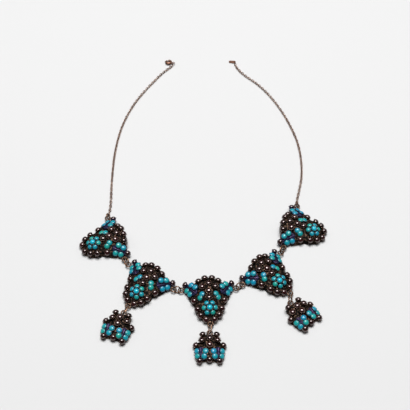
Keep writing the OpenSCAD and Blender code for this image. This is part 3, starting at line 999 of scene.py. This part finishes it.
class NECKLACE_OT_flowers(bpy.types.Operator):
    """Build a flower of six turquoises round a large one on each panel"""

    bl_idname = "necklace.flowers"
    bl_label = "Build flowers"

    def execute(self, context):
        stones = context.scene.necklace_stones
        petal = turquoise_pattern(stones.petal, PETAL_H * MM)
        petal_cup = turquoise_cup_pattern(stones.petal, PETAL_CUP)
        middle = turquoise_pattern(stones.flower_stone, FLOWER_STONE_H * MM)
        middle_cup = turquoise_cup_pattern(stones.flower_stone, FLOWER_CUP)
        count = len(PETAL_TONES)
        for number, (name, x, y, turn, _) in enumerate(PANELS):
            place = laid(x, y, turn) @ moved(*FLOWER_AT) @ turned("X", math.radians(FLOWER_TILT))
            petals, cups = [], []
            for i in range(count):
                at = place @ turned("Z", 2 * math.pi * i / count)
                at = at @ moved(PETAL_RING_R, 0, PETAL_Z) @ turned("Y", PETAL_LEAN)
                petals.append(copy_at(petal, at, PETAL_TONES[(i + PETAL_SHIFT * number) % count]))
                cups.append(copy_at(petal_cup, at))
            top = place @ moved(0, 0, FLOWER_TOP)
            cups.append(copy_at(middle_cup, top))
            seat(join(petals, name + "_flower_petals"), "turquoise")
            seat(join(cups, name + "_flower_cups"), "mount")
            stone = join([copy_at(middle, top, FLOWER_STONE_TONE)], name + "_flower_middle")
            seat(stone, "flower_stone", [name + "_flower_stone"])
            finish_node(name + "_flower", "mount")
        drop_patterns(petal, petal_cup, middle, middle_cup)
        return {"FINISHED"}


def finish_node(name, finish):
    """Gives a carried-over CAD node its finish."""
    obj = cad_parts[name]
    if not obj.material_slots:
        obj.data.materials.append(None)
    for slot in obj.material_slots:
        slot.material = MATERIALS[finish]


class NECKLACE_OT_leaves(bpy.types.Operator):
    """Build the two leaves on each panel, each with four turquoises and a garnet at its tip"""

    bl_idname = "necklace.leaves"
    bl_label = "Build leaves"

    def execute(self, context):
        stones = context.scene.necklace_stones
        leaf = leaf_pattern(LEAF_SIZE)
        turquoise = turquoise_pattern(stones.turquoise, TURQUOISE_H * MM)
        turquoise_cup = turquoise_cup_pattern(stones.turquoise, LEAF_CUP)
        garnet = garnet_pattern(stones.tip_garnet)
        garnet_cup = garnet_cup_pattern(stones.tip_garnet)
        by_panel, by_stone, whole = LEAF_TONE_STEPS
        for number, (name, x, y, turn, _) in enumerate(PANELS):
            for side, word in ((-1, "left"), (1, "right")):
                piece, place = f"{name}_{word}_leaf", laid(x, y, turn) @ leaf_seat(side)
                parts, blue = [copy_at(leaf, place)], []
                for i, (along, across, tone) in enumerate(LEAF_TURQUOISES):
                    lean = turned("X", -math.copysign(LEAF_STONE_LEAN, across))
                    at = place @ moved(along, across, LEAF_STONE_Z) @ lean
                    shade = (tone + by_panel * number + by_stone * side * i) % whole
                    blue.append(copy_at(turquoise, at, shade))
                    parts.append(copy_at(turquoise_cup, at))
                tip = place @ moved(*TIP_BEAD) @ turned("Y", TIP_BEAD_LEAN)
                parts.append(copy_at(garnet_cup, tip))
                bead = join([copy_at(garnet, tip, TIP_BEAD_TONE)], piece + "_garnet")
                seat(join(parts, piece + "_mount"), "leaf", [piece])
                seat(join(blue, piece + "_turquoises"), "turquoise")
                seat(bead, "garnet")
        drop_patterns(leaf, turquoise, turquoise_cup, garnet, garnet_cup)
        return {"FINISHED"}


def bend_point(a, b, c, d, t):
    """A point on the smooth curve from b to c, with a before them and d after."""
    square, cube = 2 * a - 5 * b + 4 * c - d, 3 * b - a - 3 * c + d
    return 0.5 * (2 * b + (c - a) * t + square * t**2 + cube * t**3)


def chain_line(route):
    """A fine line along a chain's route, let out at both ends to hook into the rings there."""
    rows = [Vector((x - MID[0], y - MID[1], z)) * MM for x, y, z in route]
    out_first, out_last, lift_first, lift_last = CHAIN_HOOKS
    first = rows[0] + (rows[0] - rows[1]).normalized() * out_first * MM
    last = rows[-1] + (rows[-1] - rows[-2]).normalized() * out_last * MM
    rows = [first + Vector((0, 0, lift_first * MM)), *rows, last + Vector((0, 0, lift_last * MM))]
    line = []
    for i in range(len(rows) - 1):
        near = rows[max(0, i - 1)], rows[i], rows[i + 1], rows[min(len(rows) - 1, i + 2)]
        line += [bend_point(*near, step / LINE_STEPS) for step in range(LINE_STEPS)]
    return line + [rows[-1]]


def point_along(line, distance):
    """Point and heading at a distance along a line."""
    for a, b in zip(line, line[1:]):
        step = (b - a).length
        if distance <= step:
            return a + (b - a) * (distance / step), (b - a).normalized()
        distance -= step
    return line[-1], (line[-1] - line[-2]).normalized()


class NECKLACE_OT_chains(bpy.types.Operator):
    """Lay the oval links of both chains, each a quarter turn from the last"""

    bl_idname = "necklace.chains"
    bl_label = "Lay chains"

    def execute(self, context):
        sizes = context.scene.necklace_chain
        link = link_pattern(sizes.link_length, sizes.link_width, sizes.wire)
        chance = random.Random(CHAIN_SEED)
        for name, route in (("left_chain", LEFT_ROUTE), ("right_chain", RIGHT_ROUTE)):
            line = chain_line(route)
            run = sum((b - a).length for a, b in zip(line, line[1:])) - sizes.link_length
            count = round(run / (sizes.link_length - 2 * sizes.wire)) + 1
            parts = []
            for i in range(count):
                middle, way = point_along(line, sizes.link_length / 2 + i * run / (count - 1))
                across = Vector((0, 0, 1)).cross(way).normalized()
                basis = Matrix((way, across, way.cross(across))).transposed().to_4x4()
                slant = CHAIN_SLANT * ease(min(1, i / TWIST_LINKS))
                turn = math.radians(slant + 90 * (i % 2) + chance.uniform(-LINK_TURN, LINK_TURN))
                parts.append(copy_at(link, Matrix.Translation(middle) @ basis @ turned("X", turn)))
            seat(join(parts, name + "_links"), "chain", [name])
        drop_patterns(link)
        return {"FINISHED"}


class NECKLACE_OT_rings_and_clasp(bpy.types.Operator):
    """Give the loose rings, the bolt ring and the end tag their worn metal"""

    bl_idname = "necklace.rings_and_clasp"
    bl_label = "Finish rings and clasp"

    def execute(self, context):
        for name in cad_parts:
            if name.endswith("_link") or name.endswith("_chain_ring"):
                finish_node(name, "ring")
        for name in ("clasp_ring", "clasp_bolt", "end_tag"):
            finish_node(name, "clasp")
        return {"FINISHED"}


class NECKLACE_OT_stage(bpy.types.Operator):
    """Lay the pale floor and set the soft lamps and the camera"""

    bl_idname = "necklace.stage"
    bl_label = "Set stage"

    def execute(self, context):
        sizes = context.scene.necklace_stage
        floor = fresh(bpy.ops.mesh.primitive_plane_add, size=1, location=(0, 0, FLOOR_Z * MM))
        floor.name = "floor"
        edit(floor)
        bpy.ops.mesh.subdivide(number_cuts=1)
        bpy.ops.transform.resize(value=(FLOOR_SIDE, FLOOR_SIDE, 1), center_override=(0, 0, 0))
        clear_selection()
        material, _, shader = new_material("Pale floor")
        shader.inputs["Base Color"].default_value = (*sizes.floor, 1)
        shader.inputs["Roughness"].default_value = FLOOR_ROUGHNESS
        floor.data.materials.append(material)
        lamp("main_lamp", (0, MAIN_LAMP_Y, sizes.lamp_height), sizes.lamp_side, sizes.lamp_power)
        x, y, z = FILL_LAMP_AT
        for side, word in ((-1, "left"), (1, "right")):
            lamp(word + "_fill_lamp", (side * x, y, z), FILL_LAMP_SIDE, sizes.fill_power)
        world = bpy.data.worlds.new("Studio")
        world.use_nodes = True
        sky = world.node_tree.nodes["Background"].inputs
        sky["Color"].default_value, sky["Strength"].default_value = (1, 1, 1, 1), WORLD_STRENGTH
        context.scene.world = world
        view = bpy.data.cameras.new("camera")
        view.lens = sizes.lens
        camera = bpy.data.objects.new("camera", view)
        context.scene.collection.objects.link(camera)
        camera.location = Vector(VIEW_TARGET) * MM
        camera.location.y -= sizes.camera_distance * math.sin(sizes.camera_tilt)
        camera.location.z += sizes.camera_distance * math.cos(sizes.camera_tilt)
        camera.rotation_euler = (sizes.camera_tilt, 0, 0)
        context.scene.camera = camera
        context.scene.view_settings.view_transform = "Standard"
        return {"FINISHED"}


def lamp(name, at, side, power):
    """A square soft lamp that faces the middle of the necklace."""
    light = bpy.data.lights.new(name, "AREA")
    light.size, light.energy = side, power
    obj = bpy.data.objects.new(name, light)
    bpy.context.scene.collection.objects.link(obj)
    obj.location = at
    obj.rotation_euler = (-obj.location).to_track_quat("-Z", "Y").to_euler()


OPERATORS = (
    NECKLACE_OT_finishes,
    NECKLACE_OT_panels,
    NECKLACE_OT_drops,
    NECKLACE_OT_flowers,
    NECKLACE_OT_leaves,
    NECKLACE_OT_chains,
    NECKLACE_OT_rings_and_clasp,
    NECKLACE_OT_stage,
)
GROUPS_OF_SIZES = {
    "necklace_stones": NecklaceStones,
    "necklace_metal": NecklaceMetal,
    "necklace_chain": NecklaceChain,
    "necklace_stage": NecklaceStage,
}


class NECKLACE_PT_sidebar(bpy.types.Panel):
    """Sizes, colours and build steps of the necklace"""

    bl_label = "Collar necklace"
    bl_idname = "NECKLACE_PT_sidebar"
    bl_space_type = "VIEW_3D"
    bl_region_type = "UI"
    bl_category = "Necklace"

    def draw(self, context):
        layout = self.layout
        for pointer, group in GROUPS_OF_SIZES.items():
            box = layout.box()
            for name in group.__annotations__:
                box.prop(getattr(context.scene, pointer), name)
        for operator in OPERATORS:
            layout.operator(operator.bl_idname)


CLASSES = (*GROUPS_OF_SIZES.values(), *OPERATORS, NECKLACE_PT_sidebar)


def register():
    for cls in CLASSES:
        bpy.utils.register_class(cls)
    for pointer, group in GROUPS_OF_SIZES.items():
        setattr(bpy.types.Scene, pointer, bpy.props.PointerProperty(type=group))


def unregister():
    for pointer in GROUPS_OF_SIZES:
        delattr(bpy.types.Scene, pointer)
    for cls in reversed(CLASSES):
        bpy.utils.unregister_class(cls)


def main():
    register()
    for operator in OPERATORS:
        family, word = operator.bl_idname.split(".")
        getattr(getattr(bpy.ops, family), word)()


if __name__ == "__main__":
    main()
